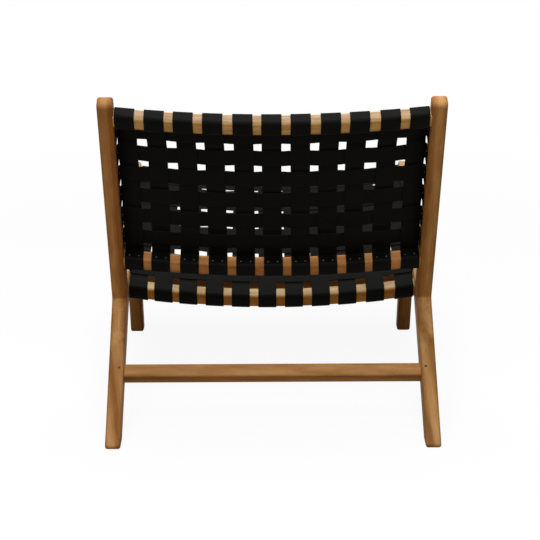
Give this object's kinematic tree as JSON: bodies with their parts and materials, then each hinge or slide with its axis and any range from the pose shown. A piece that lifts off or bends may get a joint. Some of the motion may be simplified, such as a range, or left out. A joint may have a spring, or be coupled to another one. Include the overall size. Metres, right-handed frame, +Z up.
{
  "type": "woven strap lounge chair",
  "caption": "Low armless lounge chair with a raked hardwood frame and a dished seat and back woven from wide leather straps wrapped round bowed cross rails.",
  "frame": {"origin": "on the floor under the middle of the chair's outer box", "axes": "+X towards the sitter's left, +Y towards the rear, +Z up; the chair faces -Y"},
  "size_m": [0.6546, 0.7738, 0.6744],
  "materials": {
    "frame_wood": "oiled, satin",
    "peg_wood": "oiled end grain",
    "strap_leather": "semi-matt, dyed black"
  },
  "bodies": {
    "root": {"rear_leg_and_post_left": "frame_wood", "rear_leg_and_post_right": "frame_wood", "seat_side_rail_left": "frame_wood", "seat_side_rail_right": "frame_wood", "front_leg_left": "frame_wood", "front_leg_right": "frame_wood", "back_top_rail": "frame_wood", "back_lower_rail": "frame_wood", "seat_rear_rail": "frame_wood", "seat_front_rail": "frame_wood", "rear_stretcher": "frame_wood", "front_stretcher": "frame_wood", "rear_stretcher_peg_left": "peg_wood", "rear_stretcher_peg_right": "peg_wood", "front_stretcher_peg_left": "peg_wood", "front_stretcher_peg_right": "peg_wood", "back_long_strap_01": "strap_leather", "back_long_strap_02": "strap_leather", "back_long_strap_03": "strap_leather", "back_long_strap_04": "strap_leather", "back_long_strap_05": "strap_leather", "back_long_strap_06": "strap_leather", "back_long_strap_07": "strap_leather", "back_long_strap_08": "strap_leather", "back_long_strap_09": "strap_leather", "back_long_strap_10": "strap_leather", "back_long_strap_11": "strap_leather", "seat_long_strap_01": "strap_leather", "seat_long_strap_02": "strap_leather", "seat_long_strap_03": "strap_leather", "seat_long_strap_04": "strap_leather", "seat_long_strap_05": "strap_leather", "seat_long_strap_06": "strap_leather", "seat_long_strap_07": "strap_leather", "seat_long_strap_08": "strap_leather", "seat_long_strap_09": "strap_leather", "seat_long_strap_10": "strap_leather", "seat_long_strap_11": "strap_leather", "back_cross_strap_1": "strap_leather", "back_cross_strap_2": "strap_leather", "back_cross_strap_3": "strap_leather", "back_cross_strap_4": "strap_leather", "back_cross_strap_5": "strap_leather", "back_cross_strap_6": "strap_leather", "seat_cross_strap_1": "strap_leather", "seat_cross_strap_2": "strap_leather", "seat_cross_strap_3": "strap_leather", "seat_cross_strap_4": "strap_leather", "seat_cross_strap_5": "strap_leather", "seat_cross_strap_6": "strap_leather", "seat_cross_strap_7": "strap_leather", "seat_cross_strap_8": "strap_leather"}
  },
  "joints": []
}
